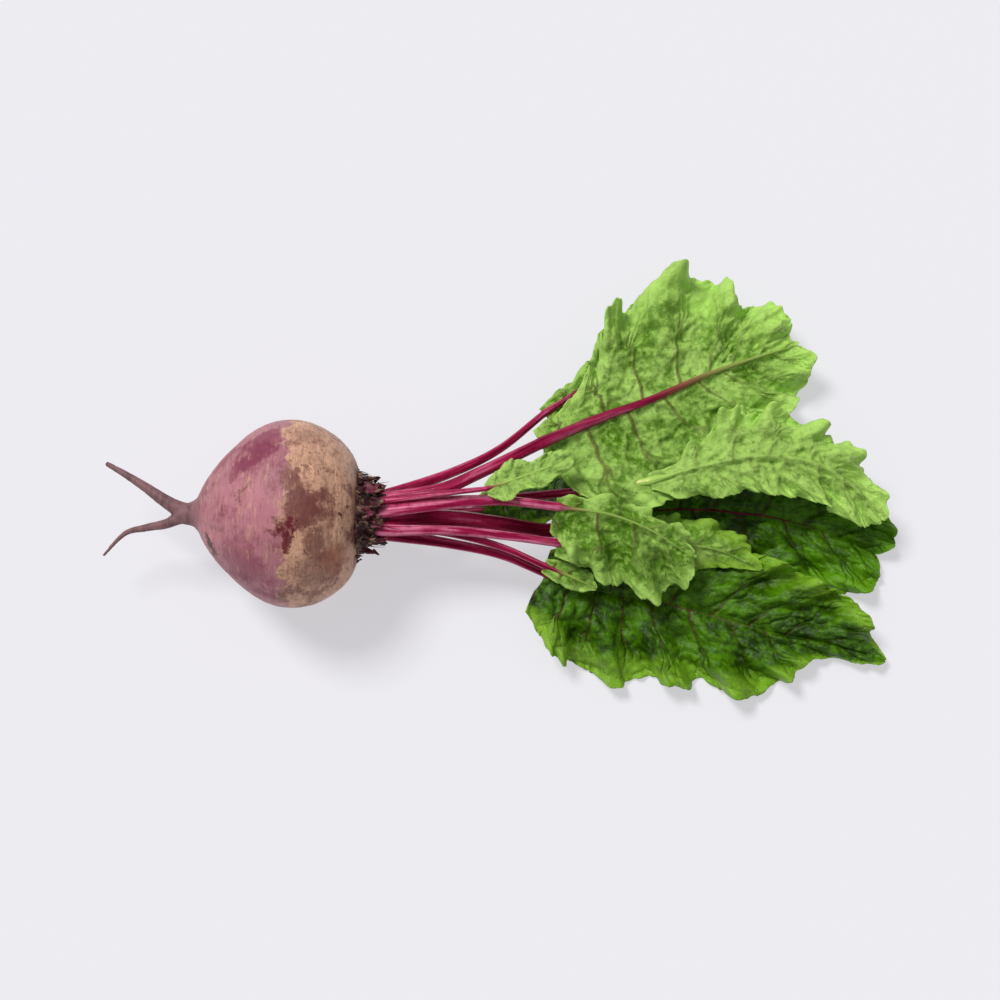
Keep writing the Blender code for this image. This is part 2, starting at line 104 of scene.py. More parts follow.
# The leaves, from the lowest to the topmost. stalk: points from the crown to the blade. rib: on to the tip.
# radii: the stalk's at both ends. left, right: lengths of the side veins at even steps along the rib.
# slope: of the left and right half, beside the rib. droop: how far each margin falls below that, as a
# share of its vein's length. ruffle: height and length of the margin's waves.
# side: which face of the blade lies upwards. light: how pale it is, from about -1 to 1. fresh: how much
# brighter it is towards the tip and the margin, partly painted light. red: the share of the rib that its red
# reaches, below 0 where it ends on the stalk. pink: how pale the stalk is, in streaks that are partly a
# painted highlight.
LEAVES = {
    "01": dict(
        stalk=((STALK_START, 8.5, 38.5), (68, 18.5, 39), (88, 29.5, 35), (107, 47, 25)),
        rib=((130, 65, 15), (142, 80, 11), (150, 93, 8), (154, 105, 5)),
        radii=(2.3, 1.5),
        left=(3, 6, 9, 12, 13, 12, 11, 9, 6), right=(8, 18, 25, 29, 31, 31, 28, 20, 8),
        slope=(-0.1, -0.1), droop=(0.15, 0.15), ruffle=(4.5, 22),
        side="under", light=-1.2, fresh=0.0, red=0.45, pink_and_highlight=0.3,
    ),
    "10": dict(
        stalk=((STALK_START, 1.0, 34), (60, 3, 26), (76, 6, 15)),
        rib=((94, 9, 8), (114, 15, 5.5), (136, 23, 4)),
        radii=(1.7, 1.2),
        left=(5, 10, 12, 11, 6), right=(5, 9, 12, 11, 7),
        slope=(-0.1, -0.1), droop=(0.2, 0.2), ruffle=(2.0, 18),
        side="upper", light=-0.6, fresh=0.0, red=0.6, pink_and_highlight=0.2,
    ),
    "06": dict(
        stalk=((STALK_START, -2.8, 42.6), (66, -1.2, 36), (88, -2.3, 28), (112, -3.4, 17), (141, 5, 8)),
        rib=((158, 7, 6.5), (176, 7.5, 6), (209, 4, 6), (236, -4, 5.5), (253, -12, 5)),
        radii=(3.4, 3.0),
        left=(8, 22, 34, 40, 41, 38, 34, 26, 14), right=(8, 20, 30, 36, 40, 38, 34, 26, 14),
        slope=(0.0, 0.0), droop=(0.1, 0.1), ruffle=(6.0, 29),
        side="upper", light=-0.2, fresh=0.85, red=0.8, pink_and_highlight=0.0,
    ),
    "07": dict(
        stalk=((STALK_START, -8.6, 39), (66, -11.5, 32), (88, -15.5, 26), (107, -22.5, 19)),
        rib=((123, -27, 13), (140, -31, 10), (158, -34, 9), (184, -41, 8.5), (206, -47, 8), (232, -52, 7),
             (256, -59, 5)),
        radii=(2.4, 1.6),
        left=(10, 20, 27, 33, 38, 39, 36, 22, 9), right=(18, 32, 38, 36, 37, 34, 16, 14, 9),
        slope=(0.3, -0.1), droop=(0.05, 0.1), ruffle=(9.5, 28),
        side="upper", light=0.0, fresh=0.25, red=0.9, pink_and_highlight=0.35,
    ),
    "08": dict(
        stalk=((STALK_START, -4.2, 36.0), (66, -7.8, 37.6), (88, -12.9, 32), (107, -20.4, 26.5)),
        rib=((116, -24, 26), (123, -27, 25.5), (129, -30, 25)),
        radii=(1.9, 1.3),
        left=(3, 6, 7, 5, 3), right=(3, 5, 6, 4, 3),
        slope=(-0.1, -0.1), droop=(0.1, 0.1), ruffle=(4.0, 12),
        side="under", light=-0.6, fresh=0.0, red=0.3, pink_and_highlight=0.35,
    ),
    "09": dict(
        stalk=((STALK_START, -7.9, 45), (66, -7.5, 42), (88, -8.6, 36.5), (112, -11, 31)),
        rib=((140, -12, 27), (166, -11, 22), (186, -14, 18), (201, -21, 15)),
        radii=(2.0, 1.8),
        left=(6, 12, 15, 15, 11, 5), right=(6, 12, 14, 11, 7, 4),
        slope=(0.0, 0.0), droop=(0.1, 0.1), ruffle=(6.0, 17),
        side="under", light=-0.3, fresh=0.95, red=0.1, pink_and_highlight=1.0,
    ),
    "02": dict(
        stalk=((STALK_START, 5.5, 45), (62, 9, 48), (79, 16.5, 47), (105, 30.5, 41)),
        rib=((131, 43, 34), (153, 52, 30), (174, 62, 27), (188, 68, 25), (204, 74, 22), (219, 79, 19)),
        radii=(2.6, 2.4),
        left=(6, 11, 20, 46, 53, 54, 52, 34, 38, 32, 24, 14, 13),
        right=(8, 40, 45, 43, 42, 42, 38, 38, 34, 33, 27, 22, 12),
        slope=(0.05, -0.05), droop=(0.1, 0.0), ruffle=(8.0, 32),
        side="under", light=0.1, fresh=0.75, red=0.72, pink_and_highlight=0.2,
    ),
    "03": dict(
        stalk=((STALK_START, 3, 40), (66, 5.2, 42), (88, 6.2, 41), (112, 9.5, 36), (131, 12, 33),
               (152, 15, 33)),
        rib=((174, 21, 38), (198, 25, 40), (222, 23, 37), (240, 14, 31), (253, 0, 25)),
        radii=(2.4, 1.6),
        left=(3, 6, 20, 24, 22, 20, 17, 15, 10), right=(4, 12, 15, 18, 21, 22, 22, 18, 10),
        slope=(0.0, -0.1), droop=(0.15, 0.1), ruffle=(8.0, 22),
        side="under", light=1.3, fresh=0.75, red=-0.26, pink_and_highlight=0.3,
    ),
    "05": dict(
        stalk=((STALK_START, 0, 48), (62, 2, 51), (88, 4, 50), (112, 2, 47)),
        rib=((135, -1, 44), (154, -8, 40), (170, -18, 35)),
        radii=(2.4, 1.8),
        left=(4, 7, 9, 10, 12, 13, 8), right=(10, 24, 31, 32, 29, 22, 12),
        slope=(-0.3, -0.25), droop=(0.2, 0.15), ruffle=(5.5, 19),
        side="under", light=-0.5, fresh=0.0, red=0.08, pink_and_highlight=0.8,
    ),
    "04": dict(
        stalk=((STALK_START, 4.2, 49.6), (62, 6, 55), (82, 8, 56)),
        rib=((93, 12, 55), (106, 17, 54), (118, 22, 52)),
        radii=(1.4, 1.0),
        left=(2, 6, 9, 6, 9, 8, 4), right=(3, 8, 6, 9, 7, 8, 3),
        slope=(0.2, 0.2), droop=(0.1, 0.1), ruffle=(5.5, 11),
        side="under", light=1.0, fresh=0.0, red=0.1, pink_and_highlight=0.6,
    ),
}  # fmt: skip
# The stalks that a blade lies on, beside all the blades laid before it.
STALKS_UNDER_BLADES = {
    "07": ("06",),
    "09": ("06",),
    "02": ("03", "01"),
    "05": ("09", "08", "06", "03"),
    "04": ("02", "05"),
}


def linear(code):
    """Turns an sRGB hex colour into linear RGB."""
    channels = [int(code[i : i + 2], 16) / 255 for i in (1, 3, 5)]
    return [c / 12.92 if c <= 0.04045 else ((c + 0.055) / 1.055) ** 2.4 for c in channels]


def colour(code, name, description):
    return FloatVectorProperty(
        name=name, description=description, default=linear(code), subtype="COLOR", min=0, max=1
    )


def length(mm, name, description):
    return FloatProperty(name=name, description=description, default=mm * MM, unit="LENGTH", precision=4)


def amount(default, name, description):
    return FloatProperty(name=name, description=description, default=default)


class RootSettings(bpy.types.PropertyGroup):
    cell: length(0.6, "Skin cell", "Size of the cells that the root's surface is remeshed to")
    lump: length(0.9, "Lumps", "Height of the broad swellings of the root")
    ring: length(0.12, "Rings", "Depth of the fine creases that run round the root")
    mauve: colour("#AB6F78", "Mauve", "Clean skin on the tail's half")
    tan: colour("#D6A588", "Tan", "Corky skin on the crown's half")
    magenta: colour("#80304A", "Magenta", "Rubbed skin where the flesh shows through")
    brown: colour("#74403A", "Brown", "Bruised skin")
    blood: colour("#641A26", "Blood red", "Bare flesh that has dried")
    rust: colour("#A8664C", "Rust", "Skin stained by soil")
    scar: colour("#4A1C0C", "Scar", "Dried scars and pits")
    tail: colour("#8A6366", "Tail", "Skin of the tap root")


class CrownSettings(bpy.types.PropertyGroup):
    scales: IntProperty(name="Scales", description="Dried scales round the crown", default=150, min=0)
    fibres: IntProperty(name="Fibres", description="Loose fibres round the crown", default=40, min=0)
    dark: colour("#34120C", "Dark", "Dried scales")
    purple: colour("#8A2046", "Purple", "Fresh leaf bases")
    husk: colour("#A67C66", "Husk", "Papery edges and soil")


class StalkSettings(bpy.types.PropertyGroup):
    groove: amount(0.045, "Ridges", "Depth of the ridges, as a share of the radius")
    deep: colour("#6E0428", "Deep", "Shaded magenta of the stalks")
    bright: colour("#A41E4C", "Bright", "Fresh magenta of the stalks")
    # Pink: the stalks' pale streaks, partly their own colour and partly a painted highlight.
    pink_and_highlight: colour("#DC7C9C", "Pink", "Pale streaks on the stalks")


class BladeSettings(bpy.types.PropertyGroup):
    thickness: length(0.45, "Thickness", "Thickness of the blades")
    cell: length(0.85, "Cell", "Size of the cells of a blade's grid")
    upper: colour("#568A02", "Upper side", "Glossy green of the upper side")
    upper_deep: colour("#264402", "Upper side, deep", "Darkest green of the upper side")
    under: colour("#588A06", "Underside", "Matt green of the underside")
    under_pale: colour("#AED468", "Underside, pale", "Palest green of the underside")
    margin: colour("#A2D63A", "Margin", "Yellow green along the margins")
    vein_red: colour("#561A22", "Red vein", "Veins near the rib")
    vein_pale: colour("#90B052", "Pale vein", "Veins on the underside")


class StageSettings(bpy.types.PropertyGroup):
    floor: colour("#EDECF1", "Floor", "Colour of the floor")
    glow: amount(0.6, "Floor glow", "Light that the floor gives off")
    key: amount(2.55, "Key light", "Strength of the key light")
    fill: amount(0.36, "Sky", "Strength of the even light from the sky")


def spline(values, steps):
    """A smooth curve through values at even steps from 0 to 1, read at each of steps."""
    v = np.array(values, dtype=float)
    v = np.concatenate([[2 * v[0] - v[1]], v, [2 * v[-1] - v[-2]]])
    at = np.clip(steps, 0.0, 1.0) * (len(values) - 1)
    i = np.minimum(at.astype(int), len(values) - 2)
    t = (at - i).reshape(at.shape + (1,) * (v.ndim - 1))
    a, b, c, d = v[i], v[i + 1], v[i + 2], v[i + 3]
    return 0.5 * (2 * b + (c - a) * t + (2 * a - 5 * b + 4 * c - d) * t**2 + (3 * b - a - 3 * c + d) * t**3)


def unit(vectors):
    return vectors / np.maximum(np.linalg.norm(vectors, axis=-1, keepdims=True), 1e-9)


def wander(rng, knots, steps, spread=1.0):
    """Smooth random numbers along steps from 0 to 1."""
    return spline(rng.uniform(-spread, spread, knots), steps)


def deselect():
    if bpy.context.object and bpy.context.object.mode != "OBJECT":
        bpy.ops.object.mode_set(mode="OBJECT")
    bpy.ops.object.select_all(action="DESELECT")


def pick(ob):
    deselect()
    ob.select_set(True)
    bpy.context.view_layer.objects.active = ob


def new_grid(name, cells_along, cells_across):
    """Adds a square grid with a UV map. Returns it with each vertex's row and column."""
    deselect()
    bpy.ops.mesh.primitive_grid_add(
        x_subdivisions=cells_along, y_subdivisions=cells_across, size=2, calc_uvs=True
    )
    ob = bpy.context.object
    ob.name = ob.data.name = name
    flat = get_points(ob) * MM
    row = np.rint((flat[:, 0] + 1) / 2 * cells_along).astype(int)
    column = np.rint((flat[:, 1] + 1) / 2 * cells_across).astype(int)
    return ob, row, column


def set_points(ob, points):
    """Puts a piece's vertices at points, in mm."""
    ob.data.vertices.foreach_set("co", (np.asarray(points) * MM).ravel())
    ob.data.update()


def get_points(ob):
    """A piece's vertices, in mm."""
    flat = np.empty(len(ob.data.vertices) * 3)
    ob.data.vertices.foreach_get("co", flat)
    return flat.reshape(-1, 3) / MM


def mark(ob, name, values):
    """Stores one number per vertex for a material to read."""
    layer = ob.data.attributes.new(name, "FLOAT", "POINT")
    layer.data.foreach_set("value", np.asarray(values, dtype=np.float32))


def weld(ob, outward=True):
    """Merges seams and poles, and turns the faces outwards."""
    pick(ob)
    bpy.ops.object.mode_set(mode="EDIT")
    bpy.ops.mesh.select_all(action="SELECT")
    bpy.ops.mesh.remove_doubles(threshold=MERGE_DISTANCE)
    if outward:
        bpy.ops.mesh.normals_make_consistent(inside=False)
    bpy.ops.object.mode_set(mode="OBJECT")


def modify(ob, kind, **settings):
    """Adds a modifier and applies it."""
    pick(ob)
    made = ob.modifiers.new(kind.lower(), kind)
    for key, value in settings.items():
        setattr(made, key, value)
    bpy.ops.object.modifier_apply(modifier=made.name)


def finish_piece(ob, material, slot, *nodes):
    """Gives a piece its material, smooth faces and its body, and hides the nodes that it stands for."""
    ob.data.materials.append(material)
    pick(ob)
    bpy.ops.object.shade_smooth()
    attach(ob, BODY)
    if nodes:
        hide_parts(*nodes)


def node(tree, kind, inputs=None, **settings):
    """Adds a shader node, sets its properties, and feeds its inputs from values or other nodes."""
    made = tree.nodes.new("ShaderNode" + kind)
    for key, value in settings.items():
        setattr(made, key, value)
    for key, value in (inputs or {}).items():
        if isinstance(value, bpy.types.NodeSocket):
            tree.links.new(value, made.inputs[key])
        else:
            made.inputs[key].default_value = value
    return made


def new_material(name):
    material = bpy.data.materials.new(name)
    material.use_nodes = True
    return material, material.node_tree, material.node_tree.nodes["Principled BSDF"]


def rgba(values, shade=1.0):
    """A colour as a shader wants it, made darker or lighter by shade."""
    return (*(min(value * shade, 1.0) for value in values), 1.0)


def layered(tree, base, layers):
    """Lays colours over a base. A layer: what it follows, where it starts and ends, its share and colour."""
    skin = base
    for value, starts, full, share, tone in layers:
        inputs = {"Value": value, "From Min": starts, "From Max": full, "To Max": share}
        spread = node(tree, "MapRange", inputs, interpolation_type="SMOOTHSTEP").outputs["Result"]
        skin = node(tree, "Mix", {0: spread, 6: skin, 7: tone}, data_type="RGBA").outputs[2]
    return skin


# ---------------------------------------------------------------- the root


# Patches of the root's skin: middle, in mm from the middle of the root, radius, colour and share. The pale
# patches on top, towards the tail, are a painted highlight.
ROOT_PATCHES = (
    ((-16, 20, 30), 8.5, "magenta", 0.9), ((-10, 27, 28), 6.5, "magenta", 0.7),
    ((-22, 14, 28), 5.5, "magenta", 0.6), ((-10, -6, 38), 9.0, "pale", 0.7),
    ((-18, -3, 35), 7.0, "pale", 0.5), ((-20, -25, 22), 12.0, "dusky", 0.6),
    ((2, 7, 39), 5.5, "brown", 0.8), ((7, -4, 39), 8.5, "brown", 0.95), ((9, 0, 38), 6.5, "brown", 0.7),
    ((1, -13, 37), 4.6, "blood", 1.0), ((0, -18, 35), 4.0, "blood", 0.95),
    ((-3, -13, 38), 3.6, "blood", 0.5), ((11, -29, 24), 9.0, "brown", 0.5),
    ((19, -24, 22), 8.0, "rust", 0.75), ((8, 29, 26), 6.0, "brown", 0.35),
    ((-17, 4, 35), 2.2, "brown", 0.7), ((-19, 1, 34), 1.4, "brown", 0.6), ((-4, -7, 39), 2.0, "brown", 0.7),
    ((-23, -2, 31), 2.6, "magenta", 0.4), ((-34.5, -14.5, 11), 3.4, "scar", 0.95),
    ((-33, -18, 8), 2.8, "scar", 0.9), ((23, -8, 27), 2.3, "scar", 0.95), ((25, -3, 25), 1.5, "scar", 0.95),
    ((20, -25, 19), 1.6, "scar", 0.7), ((12, 20, -30), 9.0, "brown", 0.6),
    ((-14, -10, -34), 10.0, "dusky", 0.7), ((-8, 30, -22), 8.0, "magenta", 0.6),
    ((6, -34, -14), 8.0, "brown", 0.5), ((18, 26, 8), 5.0, "brown", 0.5),
    ((-24, -20, -20), 6.0, "magenta", 0.5),
)  # fmt: skip


def root_skin(settings):
    """Beet skin: thin cork over magenta flesh, rubbed bare and scarred, with fine rings round the axis and a
    painted highlight on top.
    """
    material, tree, shader = new_material("corky beet skin")
    place = node(tree, "TexCoord").outputs["Object"]
    x = node(tree, "SeparateXYZ", {"Vector": place}).outputs["X"]
    # Rings round the axis are about 1 mm apart, and streaks of cork 3 mm wide; both break up within 20 mm.
    # Clouds are 8 to 20 mm across, and specks 1 mm.
    round_axis, streaked = (
        node(tree, "Mapping", {"Vector": place, "Scale": (1.0, squeeze, squeeze)}).outputs["Vector"]
        for squeeze in (0.14, 0.3)
    )
    rings, streaks, cloud, broad, specks = (
        node(tree, "TexNoise", dict(zip(NOISE, values))).outputs["Fac"]
        for values in (
            (round_axis, 900.0, 4.0, 0.7),
            (streaked, 330.0, 6.0, 0.7),
            (place, 75.0, 6.0, 0.65),
            (place, 30.0, 4.0, 0.5),
            (place, 620.0, 4.0, 0.75),
        )
    )
    # The edges of patches wander by up to 5 mm.
    warp = node(tree, "TexNoise", dict(zip(NOISE, (place, 130.0, 6.0, 0.7))))
    inputs = {0: warp.outputs["Color"], 1: (0.5, 0.5, 0.5)}
    inputs = {0: node(tree, "VectorMath", inputs, operation="SUBTRACT").outputs["Vector"],
              1: (0.026, 0.026, 0.026), 2: place}  # fmt: skip
    ragged = node(tree, "VectorMath", inputs, operation="MULTIPLY_ADD").outputs["Vector"]
    ragged_x = node(tree, "SeparateXYZ", {"Vector": ragged}).outputs["X"]
    border = node(tree, "Math", {0: broad, 1: 0.022, 2: ragged_x}, operation="MULTIPLY_ADD").outputs["Value"]

    tones = {
        "magenta": rgba(settings.magenta),
        # pale is a lighter mauve. Where the broad noise lays it, it is paler skin; in the pale patches it is
        # a painted highlight.
        "pale": rgba(settings.mauve, 1.22),
        "dusky": rgba(settings.magenta, 0.85),
        "blood": rgba(settings.blood),
        "rust": rgba(settings.rust),
        "brown": rgba(settings.brown),
        "scar": rgba(settings.scar),
    }
    tan, mauve = settings.tan, settings.mauve
    clean = layered(tree, rgba(mauve), (
        (broad, 0.42, 0.62, 0.6, tones["pale"]),
        (cloud, 0.50, 0.66, 0.6, tones["magenta"]),
        (warp.outputs["Fac"], 0.54, 0.66, 0.45, tones["brown"]),
        (streaks, 0.52, 0.66, 0.5, rgba(mauve, 0.55)),
        (rings, 0.55, 0.70, 0.4, rgba(tan, 1.1)),
        (specks, 0.60, 0.68, 0.5, tones["brown"]),
    ))  # fmt: skip
    cork = layered(tree, rgba(tan), (
        (streaks, 0.44, 0.62, 0.65, rgba(tan, 0.62)),
        (streaks, 0.46, 0.34, 0.5, rgba(tan, 1.35)),
        (cloud, 0.50, 0.62, 0.75, tones["brown"]),
        (rings, 0.54, 0.68, 0.45, rgba(settings.brown, 0.8)),
        (specks, 0.56, 0.64, 0.7, rgba(settings.brown, 0.5)),
        (specks, 0.42, 0.34, 0.4, rgba(tan, 1.45)),
    ))  # fmt: skip
    skin = layered(tree, clean, [(border, 0.0072, 0.0098, 1.0, cork)])
    # The pale patches among these paint a highlight on top of the root.
    for centre, radius, tone, share in ROOT_PATCHES:
        middle = [part * MM for part in (centre[0], centre[1], centre[2] + AXIS_HEIGHT)]
        away = node(tree, "VectorMath", {0: ragged, 1: middle}, operation="DISTANCE").outputs["Value"]
        skin = layered(tree, skin, [(away, radius * 1.35 * MM, radius * 0.7 * MM, share, tones[tone])])
    stained = node(tree, "Math", {0: cloud, 1: 0.010, 2: x}, operation="MULTIPLY_ADD").outputs["Value"]
    # Streaks of cork cross the patches; the neck and tails are dusty brown; the shoulder is stained dark.
    skin = layered(tree, skin, (
        (streaks, 0.54, 0.68, 0.45, rgba(tan, 1.1)),
        (rings, 0.46, 0.34, 0.35, rgba(settings.brown, 0.75)),
        (x, -0.0370, -0.0430, 1.0, rgba(settings.tail)),
        (x, -0.0430, -0.0500, 0.35, rgba(settings.tail, 0.7)),
    ))  # fmt: skip
    tails = node(tree, "MapRange", {"Value": x, "From Min": -0.038, "From Max": -0.044}).outputs["Result"]
    tail_rings = node(tree, "Math", {0: tails, 1: streaks}, operation="MULTIPLY").outputs["Value"]
    skin = layered(tree, skin, (
        (tail_rings, 0.48, 0.62, 0.7, rgba(settings.tail, 0.4)),
        (stained, 0.0295, 0.0330, 0.92, tones["scar"]),
    ))  # fmt: skip
    tree.links.new(skin, shader.inputs["Base Color"])
    gloss = {"Value": cloud, "From Min": 0.35, "From Max": 0.65, "To Min": 0.4, "To Max": 0.58}
    tree.links.new(node(tree, "MapRange", gloss).outputs["Result"], shader.inputs["Roughness"])
    shader.inputs["Specular IOR Level"].default_value = 0.3
    bump = {}
    for height, strength, depth in ((rings, 0.4, 0.0006), (streaks, 0.35, 0.0012), (specks, 0.35, 0.0005)):
        inputs = {"Height": height, "Strength": strength, "Distance": depth, **bump}
        bump = {"Normal": node(tree, "Bump", inputs).outputs["Normal"]}
    tree.links.new(bump["Normal"], shader.inputs["Normal"])
    return material


def tapered_tube(name, points, radii, sections=40):
    """A round tube through points, with closed ends, as a mesh."""
    path = bpy.data.curves.new(name, "CURVE")
    path.dimensions = "3D"
    path.bevel_depth = MM
    path.bevel_resolution = 4
    path.use_fill_caps = True
    run = path.splines.new("POLY")
    run.points.add(sections - 1)
    steps = np.linspace(0, 1, sections)
    for point, at, step in zip(run.points, spline(points, steps), steps):
        point.co = (*(at * MM), 1.0)
        point.radius = radii[0] + (radii[1] - radii[0]) * step
    ob = bpy.data.objects.new(name, path)
    bpy.context.scene.collection.objects.link(ob)
    pick(ob)
    bpy.ops.object.convert(target="MESH")
    return bpy.context.object


def turned(name, outline, segments, rings, unevenness):
    """A solid turned round the root's axis: its outline gives distances along the axis and radii, in mm."""
    deselect()
    bpy.ops.mesh.primitive_uv_sphere_add(segments=segments, ring_count=rings, radius=1.0)
    ob = bpy.context.object
    ob.name = ob.data.name = name
    ball = get_points(ob) * MM
    along, radius = spline(outline, np.arccos(np.clip(ball[:, 2], -1, 1)) / math.pi).T
    turn = np.arctan2(ball[:, 1], ball[:, 0])
    places = ((x * 0.25, 3 * math.cos(t), 3 * math.sin(t)) for x, t in zip(along, turn))
    lumps = np.array([noise.noise(Vector(place)) for place in places])
    radius = np.maximum(radius, 0) * (1 + unevenness * lumps)
    set_points(ob, np.stack([along, radius * np.cos(turn), AXIS_HEIGHT + radius * np.sin(turn)], axis=1))
    return ob


class BEETROOT_OT_root(bpy.types.Operator):
    """Adds the swollen root and its forked tap root as one skin"""

    bl_idname = "beetroot.root"
    bl_label = "Root"

    def execute(self, context):
        settings = context.scene.beetroot_root
        root = turned("root", ROOT_OUTLINE, 96, 72, 0.0)
        tails = [tapered_tube(f"tail_{i}", points, radii) for i, (points, radii) in enumerate(TAILS)]
        pick(root)
        for tail in tails:
            tail.select_set(True)
        bpy.ops.object.join()
        root = bpy.context.object
        weld(root)
        modify(root, "REMESH", mode="VOXEL", voxel_size=settings.cell)
        modify(root, "SMOOTH", factor=0.5, iterations=3)
        points = get_points(root)
        axis = np.array([0.0, 0.0, AXIS_HEIGHT])
        out = unit((points - axis) * (0.35, 1.0, 1.0))
        turn = np.arctan2(points[:, 2] - AXIS_HEIGHT, points[:, 1])
        swell = np.clip((points[:, 0] + 46) / 10, 0, 1)
        rise = np.empty(len(points))
        for i, p in enumerate(points):
            broad = noise.noise(Vector(p) * 0.035) + 0.5 * noise.noise(Vector(p) * 0.08)
            line = noise.noise(Vector((p[0] * 0.9, p[1] * 0.05, p[2] * 0.05)))
            pit = noise.noise(Vector(p) * 0.35)
            knots = noise.noise(Vector(p) * 0.42) * (1 - swell[i])
            shaped = settings.lump / MM * broad * swell[i] - settings.ring / MM * (1 - abs(line))
            rise[i] = shaped - 0.1 * pit + 0.45 * knots
        # Two shallow furrows run along the sides to the tap root.
        furrow = np.exp(-((np.cos(turn - 0.5) / 0.12) ** 2)) * np.clip((6 - points[:, 0]) / 30, 0, 1)
        points = points + out * (rise - 0.7 * furrow * swell)[:, None]
        points[:, 2] = np.maximum(points[:, 2], 0.02)
        set_points(root, points)
        finish_piece(root, root_skin(settings), "beet_skin", "beet_root")
        return {"FINISHED"}


# ---------------------------------------------------------------- the crown


def husk_skin(name, settings, fresh):
    """Dried leaf bases: dark and papery, with fibres along them; fresh is how purple they still are."""
    material, tree, shader = new_material(name)
    place = node(tree, "TexCoord").outputs["Object"]
    # Fibres are 0.4 mm wide and run along the root's axis; stains are 4 mm across.
    along = node(tree, "Mapping", {"Vector": place, "Scale": (0.2, 1.0, 1.0)}).outputs["Vector"]
    fibres = node(tree, "TexNoise", {"Vector": along, "Scale": 1400.0, "Detail": 3.0}).outputs["Fac"]
    stains = node(tree, "TexNoise", {"Vector": place, "Scale": 260.0, "Detail": 4.0}).outputs["Fac"]
    edge = node(tree, "MapRange", {"Value": stains, "From Min": 0.52, "From Max": 0.62}).outputs["Result"]
    inputs = {"Value": stains, "From Min": 0.35, "From Max": 0.6, "To Min": fresh, "To Max": fresh * 0.35}
    living = node(tree, "MapRange", inputs).outputs["Result"]
    base = rgba(settings.dark)
    for share, tone in ((living, settings.purple), (edge, settings.husk)):
        base = node(tree, "Mix", {0: share, 6: base, 7: rgba(tone)}, data_type="RGBA").outputs[2]
    inputs = {"Value": fibres, "From Min": 0.35, "From Max": 0.7, "To Min": 0.45, "To Max": 1.15}
    inputs = {0: 1.0, 6: base, 7: node(tree, "MapRange", inputs).outputs["Result"]}
    base = node(tree, "Mix", inputs, data_type="RGBA", blend_type="MULTIPLY").outputs[2]
    tree.links.new(base, shader.inputs["Base Color"])
    shader.inputs["Roughness"].default_value = 0.62
    bump = node(tree, "Bump", {"Height": fibres, "Strength": 0.6, "Distance": 0.0005}).outputs["Normal"]
    tree.links.new(bump, shader.inputs["Normal"])
    return material


def leaf_base(name, foot, normal, forward, size, seed, cells):
    """One dried leaf base: a small curved scale that stands on foot and leans forward, in mm."""
    rng = np.random.default_rng(seed)
    ob, row, column = new_grid(name, *cells)
    along = row / cells[0]
    across = column / cells[1] * 2 - 1
    tall, wide, thick = size
    side = unit(np.cross(normal, forward))
    narrow = np.sqrt(1 - along**2.4) * (1 + 0.25 * np.sin(math.pi * along))
    lean = rng.uniform(0.25, 0.75)
    rise = tall * along * (1 - 0.35 * lean * along)
    reach = tall * lean * along**1.6
    cup = wide * 0.35 * across**2 * narrow
    ragged = 1 + 0.35 * wander(rng, cells[1] + 1, column / cells[1]) * (along > 0.8)
    points = (
        np.asarray(foot)
        + np.outer(rise * ragged, normal)
        + np.outer(reach - cup, forward)
        + np.outer(wide / 2 * across * narrow + tall * 0.12 * wander(rng, 4, along), side)
    )
    set_points(ob, points)
    weld(ob, outward=False)
    modify(ob, "SOLIDIFY", thickness=thick * MM, offset=0.0)
    return ob


def on_crown(x, turn, sink=0.0):
    """A place on the crown's surface: its point, its outward normal and the way forward along it."""
    xs, radii = zip(*SCALE_LINE)
    radius = np.interp(x, xs, radii)
    steep = (np.interp(x + 0.5, xs, radii) - np.interp(x - 0.5, xs, radii)) / 1.0
    out = np.array([0.0, math.cos(turn), math.sin(turn)])
    forward = unit(np.array([1.0, 0.0, 0.0]) + out * steep)
    normal = unit(out - np.array([1.0, 0.0, 0.0]) * steep)
    return np.array([x, 0, AXIS_HEIGHT]) + out * radius - normal * sink, normal, forward


def join(name, pieces):
    pick(pieces[0])
    for piece in pieces[1:]:
        piece.select_set(True)
    bpy.ops.object.join()
    ob = bpy.context.object
    ob.name = ob.data.name = name
    return ob


